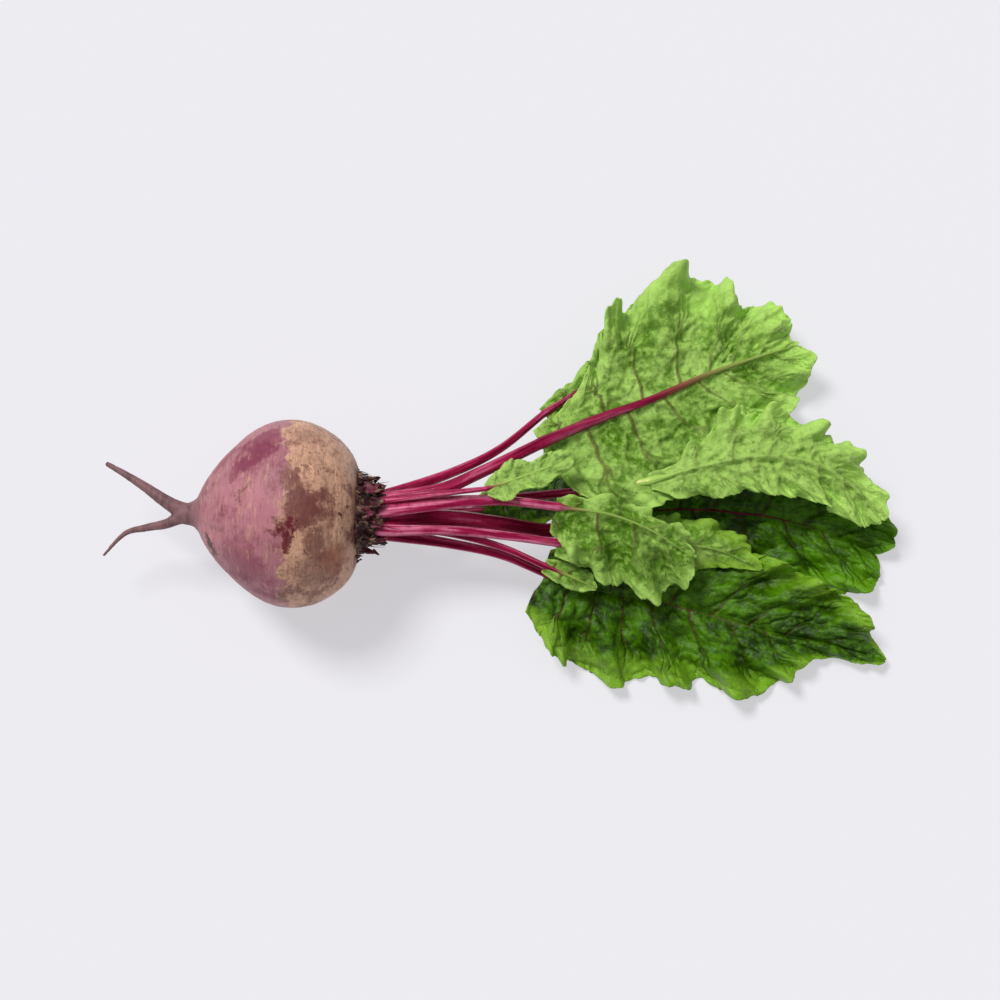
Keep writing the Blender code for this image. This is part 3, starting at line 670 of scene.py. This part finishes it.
class BEETROOT_OT_crown(bpy.types.Operator):
    """Adds the crown with its dried leaf bases and fibres"""

    bl_idname = "beetroot.crown"
    bl_label = "Crown"

    def execute(self, context):
        settings = context.scene.beetroot_crown
        crown = turned("crown_stump", CROWN_OUTLINE, 72, 48, 0.06)
        weld(crown)
        dried = husk_skin("dried leaf scales", settings, 0.18)
        fresh = husk_skin("fresh leaf bases", settings, 1.0)
        finish_piece(crown, dried, "crown_skin", "crown")

        # The larger stubs stand where the frame's do.
        stubs = sorted(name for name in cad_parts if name.startswith("old_leaf_base"))
        for number, name in enumerate(stubs):
            low, high = (np.array(corner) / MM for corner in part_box(name))
            middle = (low + high) / 2 - (0, 0, AXIS_HEIGHT)
            foot, normal, forward = on_crown(low[0] + 1.0, math.atan2(middle[2], middle[1]), 0.6)
            near = (foot[0] - 27.0) / 12.0
            size = (6.6 - 3.4 * near + 1.2 * math.sin(number * 2.3), 4.4 - near + math.sin(number * 1.7), 1.0)
            seed = STUB_SEED + number
            stub = leaf_base(f"leaf_base_{number + 1:02d}", foot, normal, forward, size, seed, (10, 8))
            finish_piece(stub, fresh if number % 3 else dried, "old_leaf_base", name)

        rng = np.random.default_rng(CROWN_SEED)
        scales = []
        for number in range(settings.scales):
            x = np.interp(rng.uniform(), (0.0, 0.3, 1.0), (26.4, 28.8, 39.6))
            foot, normal, forward = on_crown(x, rng.uniform(0, 2 * math.pi), 1.3)
            size = (rng.uniform(2.2, 4.8), rng.uniform(1.4, 3.6), rng.uniform(0.35, 0.7))
            seed = SCALE_SEED + number
            scales.append(leaf_base(f"scale_{number}", foot, normal, forward, size, seed, (5, 4)))
        scales = join("crown_scales", scales)
        finish_piece(scales, dried, "crown_skin")

        fibres = []
        for number in range(settings.fibres):
            foot, normal, forward = on_crown(rng.uniform(27.5, 38.0), rng.uniform(0, 2 * math.pi), 0.3)
            side = np.cross(normal, forward)
            long = rng.uniform(2.0, 6.5)
            bend = rng.uniform(-0.5, 0.5, 2)
            lean = (forward * 0.9 + side * bend[0]) * long
            route = [
                foot + normal * long * t + lean * t**1.5 + side * bend[1] * t**2
                for t in (0.0, 0.35, 0.7, 1.0)
            ]
            fibres.append(tapered_tube(f"fibre_{number}", route, (0.22, 0.06), 7))
        fibres = join("crown_fibres", fibres)
        weld(fibres)
        finish_piece(fibres, dried, "crown_skin")
        return {"FINISHED"}


# ---------------------------------------------------------------- the leaves


def blade_frame(leaf, along):
    """The rib's points at along, and unit vectors ahead, to the left and up there."""
    rib = (leaf["stalk"][-1],) + leaf["rib"]
    centre = spline(rib, along)
    ahead = unit(spline(rib, along + 0.01) - spline(rib, along - 0.01))
    aside = unit(np.cross((0.0, 0.0, 1.0), ahead))
    return centre, ahead, aside, np.cross(ahead, aside)


def rib_length(leaf):
    points = spline((leaf["stalk"][-1],) + leaf["rib"], np.linspace(0, 1, 60))
    return np.linalg.norm(np.diff(points, axis=0), axis=1).sum()


def net_distance(rng, along_mm, across_mm, cell):
    """How far each place is from the nearest line of a net of small veins, in mm."""
    x0, x1 = along_mm.min(), along_mm.max()
    y0, y1 = across_mm.min(), across_mm.max()
    xs, ys = np.meshgrid(np.arange(x0, x1 + cell, cell), np.arange(y0, y1 + cell, cell))
    seeds = np.stack([xs.ravel(), ys.ravel()], axis=1) + rng.uniform(-0.42, 0.42, (xs.size, 2)) * cell
    places = np.stack([along_mm.ravel(), across_mm.ravel()], axis=1)
    nearest = np.full(len(places), 1e9)
    second = np.full(len(places), 1e9)
    for seed in seeds:
        away = np.hypot(places[:, 0] - seed[0], places[:, 1] - seed[1])
        second = np.minimum(second, np.maximum(nearest, away))
        nearest = np.minimum(nearest, away)
    return ((second - nearest) / 2).reshape(along_mm.shape)


def margin_route(leaf, steps, is_left, out=1.0):
    """One half's places at out, from the rib at 0 to the margin at 1, before it is ruffled."""
    centre, ahead, aside, up = (a[:, None, :] for a in blade_frame(leaf, steps))
    side = 0 if is_left else 1
    reach = spline(leaf["left" if is_left else "right"], steps) * np.sqrt(np.clip(1 - steps**6, 0, 1))
    out = np.atleast_2d(out)
    angle = VEIN_ANGLES[0] + (VEIN_ANGLES[1] - VEIN_ANGLES[0]) * steps[:, None] ** 0.8 - VEIN_BEND * out / 2
    angle = np.radians(np.minimum(angle, 90.0 + BASE_TURN * out))
    length_mm = reach[:, None] * out
    forward = length_mm * np.cos(angle)
    sideways = length_mm * np.sin(angle)
    rise = leaf["slope"][side] * sideways - leaf["droop"][side] * np.clip(out, 0, 1) * sideways
    points = centre + ahead * forward[..., None] + up * rise[..., None]
    points = points + aside * (sideways if is_left else -sideways)[..., None]
    return points, reach[:, None], angle


def travelled(points):
    """Distances along a line of points from its start."""
    return np.concatenate([[0], np.cumsum(np.linalg.norm(np.diff(points, axis=0), axis=1))])


def even_steps(leaf, cell):
    """Steps along the rib, closer together where the margins turn round the blade's ends."""
    fine = np.linspace(0.004, 1, 600)
    moved = [travelled(margin_route(leaf, fine, is_left)[0][:, 0]) for is_left in (True, False)]
    moved.append(travelled(blade_frame(leaf, fine)[0]) * 1.2)
    moved = np.max([np.gradient(m) for m in moved], axis=0).cumsum()
    rows = 2 * round(moved[-1] / cell / 2)
    return np.interp(np.linspace(moved[0], moved[-1], rows + 1), moved, fine)


def lobe(turns):
    """Rounded lobes with narrow notches between, one a turn, from -0.65 to 0.35."""
    return np.abs(np.sin(math.pi * turns)) ** 0.6 - 0.65


def blade_half(leaf, steps, columns, is_left, seed):
    """Half of a blade's middle surface, in rows along it, with how far each place is from its veins."""
    rng = np.random.default_rng(seed)
    out = np.linspace(0, 1, columns + 1)[None, :]
    height, wave = leaf["ruffle"]
    rib_mm = rib_length(leaf)
    veins = max(4, round(rib_mm / VEIN_SPACING))
    along = steps[:, None]
    margin, reach, _ = margin_route(leaf, steps, is_left)
    run = travelled(margin[:, 0])
    ends = np.clip(run / 9, 0, 1) * np.clip((run[-1] - run) / 5, 0, 1)
    share = (np.clip((reach[:, 0] / 24) ** 0.7, 0.15, 1.12) * ends)[:, None]

    def turns(wavelength, stray):
        """How many waves of the margin lie before each row, with some irregularity."""
        knots = max(4, round(run[-1] / wavelength / 1.3))
        return (run / wavelength + wander(rng, knots, run / run[-1], stray) + rng.uniform(0, 1))[:, None]

    def unevenly(knots, low=0.5):
        """Uneven shares from low to 1 along the margin."""
        return ((1 + low) / 2 + (1 - low) / 2 * wander(rng, knots, run / run[-1]))[:, None]

    big = turns(wave, 0.34)
    mid, fine = (turns(wave * part, stray) for part, stray in zip(SMALLER_WAVES, (0.4, 0.5)))
    # The margin has rounded lobes at three scales. Each of the two larger kinds stands on a ruffle's crest.
    scallop = 1 + BIG_LOBE * lobe(big + 0.25) * unevenly(9) * out**2
    small = SMALL_LOBES[0] * lobe(mid + 0.25) * unevenly(14) + SMALL_LOBES[1] * lobe(fine)
    grown = out * scallop + small * out**4 * share / np.maximum(reach, 4)
    points, reach, angle = margin_route(leaf, steps, is_left, grown)
    flat_points = margin_route(leaf, steps, is_left, out)[0]
    over, around = np.gradient(flat_points, axis=1), np.gradient(flat_points, axis=0)
    normal = unit(np.cross(around, over) if not is_left else np.cross(over, around))
    normal = normal * np.where(normal[..., 2:] < 0, -1, 1)
    ahead = unit(around)

    # Ruffles grow towards the margin, where the blade is longer than its outline, and lean over.
    rise = out**1.7 * np.sin(2 * math.pi * big) * unevenly(8, 0.4)
    rise = rise + 0.34 * out**4.5 * np.sin(2 * math.pi * mid) * unevenly(15)
    rise = rise + 0.08 * out**8 * np.sin(2 * math.pi * fine)
    sway = 0.03 * wave * out**2 * np.sin(4 * math.pi * big)
    sway = sway + 0.012 * wave * out**3 * np.sin(4 * math.pi * mid)

    # Side veins wind a little and fork; between them the blade swells towards its upper side.
    winding = 0.13 * np.sin(2 * math.pi * (1.3 * out + 2.1 * along + rng.uniform())) * out
    winding = winding + 0.05 * np.sin(2 * math.pi * (3.3 * out - 3.7 * along + rng.uniform())) * out
    lines = along * veins - (0.5 if is_left else 0.0) + winding
    aside = np.abs(lines - np.rint(lines))
    fork = 0.28 * np.clip((out - 0.45) / 0.55, 0, 1) ** 0.8
    aside = np.where(out > 0.45, np.minimum(aside, np.abs(aside - fork)), aside)
    spacing = rib_mm / veins * np.sin(np.clip(angle, 0.6, 2.5))
    to_vein = aside * spacing
    flat = np.stack([along * rib_mm + 0 * out, out * reach], axis=2)
    bent = flat + 1.2 * np.stack([np.sin(flat[..., 1] / 3.1), np.sin(flat[..., 0] / 3.7)], axis=2)
    to_net, to_fine_net = (net_distance(rng, bent[..., 0], bent[..., 1], cell) for cell in NET_CELLS)
    quilt = QUILT * (1 - (1 - np.clip(to_vein / (0.42 * spacing), 0, 1)) ** 2.2) * (1 - 0.6 * out**2)
    pucker = PUCKERS[0] * (1 - (1 - np.clip(to_net / 4.0, 0, 1)) ** 2.0)
    pucker = pucker + PUCKERS[1] * (1 - (1 - np.clip(to_fine_net / 2.0, 0, 1)) ** 2.0)
    swelling = (quilt + pucker) * np.clip(out / 0.12, 0, 1) * np.clip(reach / 20, 0.25, 1) * ends[:, None]
    swelling = swelling * (1 if leaf["side"] == "upper" else -1)
    crumple = 0
    for _ in range(CRUMPLE_WAVES):
        wave_turn = rng.uniform(0, math.pi)
        run_across = flat @ (math.cos(wave_turn), math.sin(wave_turn)) / rng.uniform(*CRUMPLE_LENGTHS)
        crumple = crumple + np.sin(2 * math.pi * (run_across + rng.uniform()))
    rise = height * share * rise + swelling + CRUMPLE * crumple * np.clip(out * 2, 0, 1) * share
    points = points + normal * rise[..., None] - ahead * (share * sway)[..., None]
    return points, to_vein, to_net


class Ground:
    """The height of the floor and of what already lies on it, on a 1 mm grid."""

    def __init__(self, low=(-20, -130), size=(320, 280)):
        self.low = np.array(low)
        self.size = size
        self.clouds = {}

    def add(self, name, points):
        self.clouds[name] = points.reshape(-1, 3)

    def cells(self, points):
        at = np.rint(points[..., :2] - self.low).astype(int)
        return np.clip(at[..., 0], 0, self.size[0] - 1), np.clip(at[..., 1], 0, self.size[1] - 1)

    def height(self, names):
        top = np.zeros(self.size)
        for name in names:
            np.maximum.at(top, self.cells(self.clouds[name]), self.clouds[name][:, 2])
        padded = np.pad(top, 1)
        rows, columns = self.size
        return np.max([padded[i : i + rows, j : j + columns] for i in range(3) for j in range(3)], axis=0)


def settle(points, ground, names, clearance):
    """Lifts a blade off the floor and off what it lies on, gently round each touch."""
    top = ground.height(names)
    need = np.maximum(top[ground.cells(points)] + clearance - points[..., 2], 0)
    lift = need
    for _ in range(SETTLE_PASSES):
        padded = np.pad(lift, 1, mode="edge")
        mean = (padded[:-2, 1:-1] + padded[2:, 1:-1] + padded[1:-1, :-2] + padded[1:-1, 2:]) / 4
        lift = np.maximum(need, mean)
    points = points.copy()
    points[..., 2] += lift
    return points


def blade_skin(name, settings, side, light, fresh):
    """Leaf skin: glossy and deep green above, matt and pale below, over a net of veins."""
    material, tree, shader = new_material(name)
    place = node(tree, "TexCoord").outputs["Object"]
    vein, net, out, reach = (
        node(tree, "Attribute", attribute_name=key).outputs["Fac"] for key in ("vein", "net", "out", "reach")
    )
    # Tone drifts over 15 to 40 mm and mottles over 4 mm; the finest net of veins is 1.3 mm wide.
    drift, mottle = (
        node(tree, "TexNoise", dict(zip(NOISE, values))).outputs["Fac"]
        for values in ((place, 55.0, 4.0, 0.55), (place, 300.0, 5.0, 0.65))
    )
    cells = node(tree, "TexVoronoi", {"Vector": place, "Scale": 760.0}, feature="DISTANCE_TO_EDGE")
    cells = cells.outputs["Distance"]
    # The blade is painted lighter towards its margin: partly its own yellow green, partly painted light on
    # its raised, lit edges.
    edge = node(tree, "Math", {0: drift, 1: 0.6, 2: out}, operation="MULTIPLY_ADD").outputs["Value"]
    # Side veins are red by the rib and fade towards the margin and the tip, where the blade is youngest.
    fading = node(tree, "Math", {0: reach, 1: 1.0, 2: out}, operation="MULTIPLY_ADD").outputs["Value"]
    # Towards the tip and the margin the green is painted lighter: partly younger, paler tissue, partly
    # painted light.
    young_and_lit = node(tree, "Math", {0: drift, 1: 0.5, 2: fading}, operation="MULTIPLY_ADD").outputs["Value"]

    upper = side == "upper"
    dark, pale = (settings.upper_deep, settings.upper) if upper else (settings.under, settings.under_pale)
    plain_vein = rgba(settings.upper_deep) if upper else rgba(settings.vein_pale)
    level = 0.5 - 0.16 * light
    # The tone there is a lighter copy of the blade's greens, partly painted light.
    youngest_and_lit = rgba(settings.margin, 0.8)
    if upper:
        youngest_and_lit = rgba(settings.upper, 1.5)
    elif light > 0:
        youngest_and_lit = rgba(settings.under_pale, 1.45)
    vein_tone = layered(tree, plain_vein, [(fading, 1.25, 0.35, 0.95, rgba(settings.vein_red))])
    skin = layered(tree, rgba(dark), (
        (drift, level - 0.12, level + 0.14, 1.0, rgba(pale)),
        (mottle, 0.47, 0.62, 0.55, rgba(pale, 1.4)),
        (mottle, 0.48, 0.36, 0.6, rgba(dark, 0.6)),
        # The lighter margin is partly painted light.
        (edge, 0.9, 1.26, 0.85, rgba(settings.margin) if upper else rgba(pale, 1.2)),
        (young_and_lit, 1.1, 1.8, fresh, youngest_and_lit),
        (cells, 0.12, 0.02, 0.25, rgba(dark, 0.75) if upper else plain_vein),
        (net, 0.45, 0.1, 0.3, rgba(dark, 0.7) if upper else plain_vein),
        (vein, 1.0, 0.45, 0.7 - 0.35 * max(light, 0), vein_tone),
    ))  # fmt: skip
    tree.links.new(skin, shader.inputs["Base Color"])
    rough = {"Value": mottle, "From Min": 0.3, "From Max": 0.7, "To Min": 0.3 if upper else 0.42,
             "To Max": 0.44 if upper else 0.56}  # fmt: skip
    tree.links.new(node(tree, "MapRange", rough).outputs["Result"], shader.inputs["Roughness"])
    shader.inputs["Specular IOR Level"].default_value = 0.34 if upper else 0.24
    bump = node(tree, "Bump", {"Height": cells, "Strength": 0.4, "Distance": 0.0003}).outputs["Normal"]
    inputs = {"Height": mottle, "Strength": 0.5, "Distance": 0.002, "Normal": bump}
    bump = node(tree, "Bump", inputs).outputs["Normal"]
    ridge = node(tree, "MapRange", {"Value": vein, "From Min": 1.3, "From Max": 0.2}).outputs["Result"]
    inputs = {"Height": ridge, "Strength": 0.7, "Distance": 0.0005, "Normal": bump}
    bump = node(tree, "Bump", inputs, invert=upper).outputs["Normal"]
    tree.links.new(bump, shader.inputs["Normal"])
    # Light shines through the thin blade and comes out yellower.
    glow = node(tree, "Mix", {0: 0.5, 6: skin, 7: rgba(settings.margin)}, data_type="RGBA").outputs[2]
    through = node(tree, "BsdfTranslucent", {"Color": glow, "Normal": bump}).outputs["BSDF"]
    both = node(tree, "MixShader", {0: 0.22, 1: shader.outputs["BSDF"], 2: through}).outputs["Shader"]
    tree.links.new(both, tree.nodes["Material Output"].inputs["Surface"])
    return material


def stalk_skin(name, settings, pink_and_highlight, red, rib, tip):
    """Beet stalk: smooth, faintly ribbed and magenta, with paler streaks along it that are partly a painted
    highlight.
    """
    material, tree, shader = new_material(name)
    reach, turn, share = (
        node(tree, "Attribute", attribute_name=key).outputs["Fac"] for key in ("reach", "turn", "share")
    )
    # Streaks are 1 to 2 mm wide and run for 30 mm or more.
    lengthways = node(tree, "Math", {0: reach, 1: 0.03}, operation="MULTIPLY").outputs["Value"]
    round_it = node(tree, "Math", {0: turn, 1: 5.0}, operation="MULTIPLY").outputs["Value"]
    wound = node(tree, "CombineXYZ", {"X": lengthways, "Y": round_it, "Z": 7.0 * pink_and_highlight}).outputs["Vector"]
    streaks = node(tree, "TexNoise", {"Vector": wound, "Scale": 1.2, "Detail": 3.0}).outputs["Fac"]
    place = node(tree, "TexCoord").outputs["Object"]
    mottle = node(tree, "TexNoise", dict(zip(NOISE, (place, 420.0, 4.0, 0.65)))).outputs["Fac"]
    skin = layered(tree, rgba(settings.deep), (
        (streaks, 0.36 - 0.1 * pink_and_highlight, 0.56 - 0.1 * pink_and_highlight, 1.0, rgba(settings.bright)),
        # The pink streaks are partly the stalk's own pale streaks and partly a painted highlight.
        (streaks, 0.56 - 0.14 * pink_and_highlight, 0.7 - 0.12 * pink_and_highlight, 0.35 + 0.55 * pink_and_highlight, rgba(settings.pink_and_highlight)),
        (mottle, 0.52, 0.36, 0.35, rgba(settings.deep, 0.8)),
        (share, 1.0, 1.12, *rib),
        (share, 0.92 + red * 0.8, 1.25 + red, 1.0, rgba(tip)),
    ))  # fmt: skip
    tree.links.new(skin, shader.inputs["Base Color"])
    shader.inputs["Roughness"].default_value = 0.24
    shader.inputs["Specular IOR Level"].default_value = 0.45
    shader.inputs["Specular Tint"].default_value = rgba(settings.pink_and_highlight)
    bump = node(tree, "Bump", {"Height": streaks, "Strength": 0.3, "Distance": 0.0006}).outputs["Normal"]
    bump = node(tree, "Bump", {"Height": mottle, "Strength": 0.15, "Distance": 0.0004, "Normal": bump})
    tree.links.new(bump.outputs["Normal"], shader.inputs["Normal"])
    return material


def make_stalk(number, leaf, settings, rib_line, ups):
    """A ribbed stalk from the crown that runs on along its blade as the midrib."""
    first, last = leaf["radii"]
    along = np.linspace(0, 1, 90)
    foot = np.array(leaf["stalk"][0])
    # The foot stands inside the crown, so the stalk comes out from between the scales.
    inside = (foot - (0, 0, AXIS_HEIGHT)) * (1, 0.8, 0.8) + (-5.5, 0, AXIS_HEIGHT)
    stalk = spline((inside,) + leaf["stalk"], along)
    stalk[:, 2] += (rib_line[0, 2] - stalk[-1, 2]) * along**14
    steps = np.linspace(0, 1, len(rib_line))
    # Ribs that stay green sink into the blade and are thin.
    sunk = np.clip(steps / 0.12, 0, 1)
    offset = (0.9 * leaf["red"] - 0.62 if leaf["side"] == "under" else -0.7) * sunk
    slim = 1 - 0.78 * (1 - min(leaf["red"] / 0.7, 1)) * sunk
    rib_radius = last * slim * (1 - steps) ** 0.75 + 0.2
    line = rib_line + ups * (offset * rib_radius)[:, None]
    path = np.concatenate([stalk[:-1], line])
    rib_radius = rib_radius * np.clip((1 - steps) * 12, 0.3, 1)
    radius = np.concatenate([first + (last - first) * along[:-1], rib_radius])
    share = np.concatenate([along[:-1], 1 + steps])
    path = np.concatenate([path[:1], path, path[-1:]])
    radius = np.concatenate([[0], radius, [0]])
    share = np.concatenate([share[:1], share, share[-1:]])
    reach = np.concatenate([[0], np.cumsum(np.linalg.norm(np.diff(path, axis=0), axis=1))])
    ahead = unit(np.gradient(path[1:-1], axis=0))
    ahead = np.concatenate([ahead[:1], ahead, ahead[-1:]])
    aside = unit(np.cross((0.0, 0.0, 1.0), ahead))
    up = np.cross(ahead, aside)
    sides = 32
    ob, row, column = new_grid(f"stalk_{number}", len(path) - 1, sides)
    turn = 2 * math.pi * column / sides - math.pi / 2
    ridged = 1 + settings.groove * np.cos(9 * turn + float(number)) * np.clip(2.2 - share[row], 0, 1)
    clasp = 1 + 0.42 * np.exp(-reach[row] / 20.0)
    x = np.cos(turn) * ridged * clasp
    y = np.sin(turn) * ridged
    upper = 1 if leaf["side"] == "upper" else -1
    channel = 0.42 * np.exp(-((x / 0.5) ** 2)) * np.clip(y * upper * 1.5, 0, 1) * (share[row] < 2)
    y = y - upper * channel * np.clip(1.6 - share[row], 0, 1)
    points = path[row] + (aside[row] * x[:, None] + up[row] * y[:, None]) * radius[row][:, None]
    points[:, 2] = np.maximum(points[:, 2], 0.15)
    set_points(ob, points)
    mark(ob, "reach", reach[row])
    mark(ob, "turn", column / sides)
    mark(ob, "share", share[row])
    weld(ob)
    return ob


class BEETROOT_OT_leaves(bpy.types.Operator):
    """Adds the leaf blades from the lowest up, each settled on those below, and the stalks that bear them"""

    bl_idname = "beetroot.leaves"
    bl_label = "Leaves"

    def execute(self, context):
        settings = context.scene.beetroot_blade
        stalk_settings = context.scene.beetroot_stalk
        ground = Ground()
        for number, leaf in LEAVES.items():
            stalk = spline(leaf["stalk"], np.linspace(0, 1, 60))
            radius = np.linspace(*leaf["radii"], 60)
            for turn in np.linspace(0, math.pi, 7):
                ring = np.stack([0 * radius, radius * math.cos(turn), radius * math.sin(turn)], axis=1)
                stalk_points = stalk + ring
                name = f"stalk {number}"
                known = ground.clouds.get(name, stalk_points)
                ground.add(name, np.concatenate([known, stalk_points]))
        laid = []
        for number, leaf in LEAVES.items():
            cell = settings.cell / MM
            steps = even_steps(leaf, cell)
            rows = len(steps) - 1
            half = math.ceil(max(leaf["left"] + leaf["right"]) / cell)
            seed = BLADE_SEED + 2 * int(number)
            halves = [blade_half(leaf, steps, half, side, seed + side) for side in (False, True)]
            # The right half's columns run from its margin to the rib, and the left half's go on to the other.
            points, to_vein, to_net = (
                np.concatenate([right[:, ::-1], left[:, 1:]], axis=1) for right, left in zip(*halves)
            )
            under = laid + [f"stalk {other}" for other in STALKS_UNDER_BLADES.get(number, ())]
            points = settle(points, ground, under, BLADE_CLEARANCE)
            name = f"blade {number}"
            ground.add(name, points)
            laid.append(name)
            ob, row, column = new_grid(f"blade_{number}", rows, 2 * half)
            set_points(ob, points[row, column])
            out = np.abs(column / half - 1)
            width = 0.6 * (1 - out) ** 0.8 + 0.22
            mark(ob, "vein", to_vein[row, column] / width + np.clip(out - 0.5, 0, 1))
            mark(ob, "net", to_net[row, column])
            mark(ob, "out", out)
            mark(ob, "reach", steps[row])
            weld(ob, outward=False)
            modify(ob, "SOLIDIFY", thickness=settings.thickness, offset=0.0)
            # Both faces get the skin of the side that lies upwards.
            side = leaf["side"]
            skin = blade_skin(f"leaf {side} side {number}", settings, side, leaf["light"], leaf["fresh"])
            finish_piece(ob, skin, f"leaf_blade_{side}", f"leaf_blade_{number}")

            ups = blade_frame(leaf, steps[::2])[3]
            stalk = make_stalk(number, leaf, stalk_settings, points[::2, half], ups)
            tip = settings.vein_pale if side == "under" else settings.upper_deep
            if leaf["light"] > 0.5:
                tip = settings.under_pale
            # The rib turns duller than the stalk, most of all on a blade's upper side.
            rib = (0.75 if side == "upper" else 0.3, rgba(settings.vein_red))
            skin = stalk_skin(f"beet stalk {number}", stalk_settings, leaf["pink_and_highlight"], leaf["red"], rib, tip)
            finish_piece(stalk, skin, "leaf_stalk", f"leaf_stalk_{number}")
        return {"FINISHED"}


# ---------------------------------------------------------------- the stage

CAMERA_TARGET = (87.8, 7.8, 30.0)
CAMERA_DISTANCE = 1020.0
CAMERA_ELEVATION = 80.0
CAMERA_LENS = 85.0
FLOOR_SIZE = 60.0  # in metres, so that its edge is out of sight
KEY_PLACE = (-0.45, 0.45, 1.0)  # to the left and behind; only its direction counts
KEY_WIDTH = 18.0  # in degrees, as wide as a large soft box looks
SKY = "#F6F6FA"


class BEETROOT_OT_stage(bpy.types.Operator):
    """Adds a plain pale floor, soft studio light and the camera"""

    bl_idname = "beetroot.stage"
    bl_label = "Stage"

    def execute(self, context):
        settings = context.scene.beetroot_stage
        deselect()
        bpy.ops.mesh.primitive_plane_add(size=FLOOR_SIZE, location=(0, 0, 0))
        floor = bpy.context.object
        floor.name = "floor"
        # A backlit acrylic sheet: it glows a little, which keeps shadows on it faint.
        sheet, _, shader = new_material("backlit white acrylic")
        shader.inputs["Base Color"].default_value = rgba(settings.floor, 1 - settings.glow)
        shader.inputs["Roughness"].default_value = 0.9
        shader.inputs["Specular IOR Level"].default_value = 0.0
        shader.inputs["Emission Color"].default_value = rgba(settings.floor)
        shader.inputs["Emission Strength"].default_value = settings.glow
        floor.data.materials.append(sheet)

        bpy.ops.object.light_add(type="SUN", location=KEY_PLACE)
        key = bpy.context.object
        key.name = "key"
        key.data.energy = settings.key
        key.data.angle = math.radians(KEY_WIDTH)
        key.rotation_euler = key.location.to_track_quat("Z", "Y").to_euler()
        world = bpy.data.worlds.new("studio")
        world.use_nodes = True
        sky = world.node_tree.nodes["Background"]
        sky.inputs["Color"].default_value = rgba(linear(SKY))
        sky.inputs["Strength"].default_value = settings.fill
        context.scene.world = world
        # Colours are shown as they are given.
        context.scene.view_settings.view_transform = "Standard"

        elevation = math.radians(CAMERA_ELEVATION)
        back = Vector((0.0, -math.cos(elevation), math.sin(elevation)))
        bpy.ops.object.camera_add(
            location=(Vector(CAMERA_TARGET) + back * CAMERA_DISTANCE) * MM,
            rotation=(math.pi / 2 - elevation, 0.0, 0.0),
        )
        camera = bpy.context.object
        camera.name = "camera"
        camera.data.lens = CAMERA_LENS
        camera.data.clip_start = 0.01
        context.scene.camera = camera
        return {"FINISHED"}


# ---------------------------------------------------------------- the add-on

SETTINGS = {
    "beetroot_root": RootSettings,
    "beetroot_crown": CrownSettings,
    "beetroot_stalk": StalkSettings,
    "beetroot_blade": BladeSettings,
    "beetroot_stage": StageSettings,
}
OPERATORS = (BEETROOT_OT_stage, BEETROOT_OT_root, BEETROOT_OT_crown, BEETROOT_OT_leaves)


class BEETROOT_PT_panel(bpy.types.Panel):
    """The beetroot's pieces and their settings"""

    bl_idname = "BEETROOT_PT_panel"
    bl_label = "Beetroot"
    bl_space_type = "VIEW_3D"
    bl_region_type = "UI"
    bl_category = "Beetroot"

    def draw(self, context):
        for operator in OPERATORS:
            self.layout.operator(operator.bl_idname)
        for name, group in SETTINGS.items():
            box = self.layout.box()
            for key in group.__annotations__:
                box.prop(getattr(context.scene, name), key)


def register():
    for group in SETTINGS.values():
        bpy.utils.register_class(group)
    for cls in OPERATORS + (BEETROOT_PT_panel,):
        bpy.utils.register_class(cls)
    for name, group in SETTINGS.items():
        setattr(bpy.types.Scene, name, PointerProperty(type=group))


def unregister():
    for name in SETTINGS:
        delattr(bpy.types.Scene, name)
    for cls in reversed(tuple(SETTINGS.values()) + OPERATORS + (BEETROOT_PT_panel,)):
        bpy.utils.unregister_class(cls)


def main():
    register()
    bpy.ops.beetroot.stage()
    bpy.ops.beetroot.root()
    bpy.ops.beetroot.crown()
    bpy.ops.beetroot.leaves()


if __name__ == "__main__":
    main()
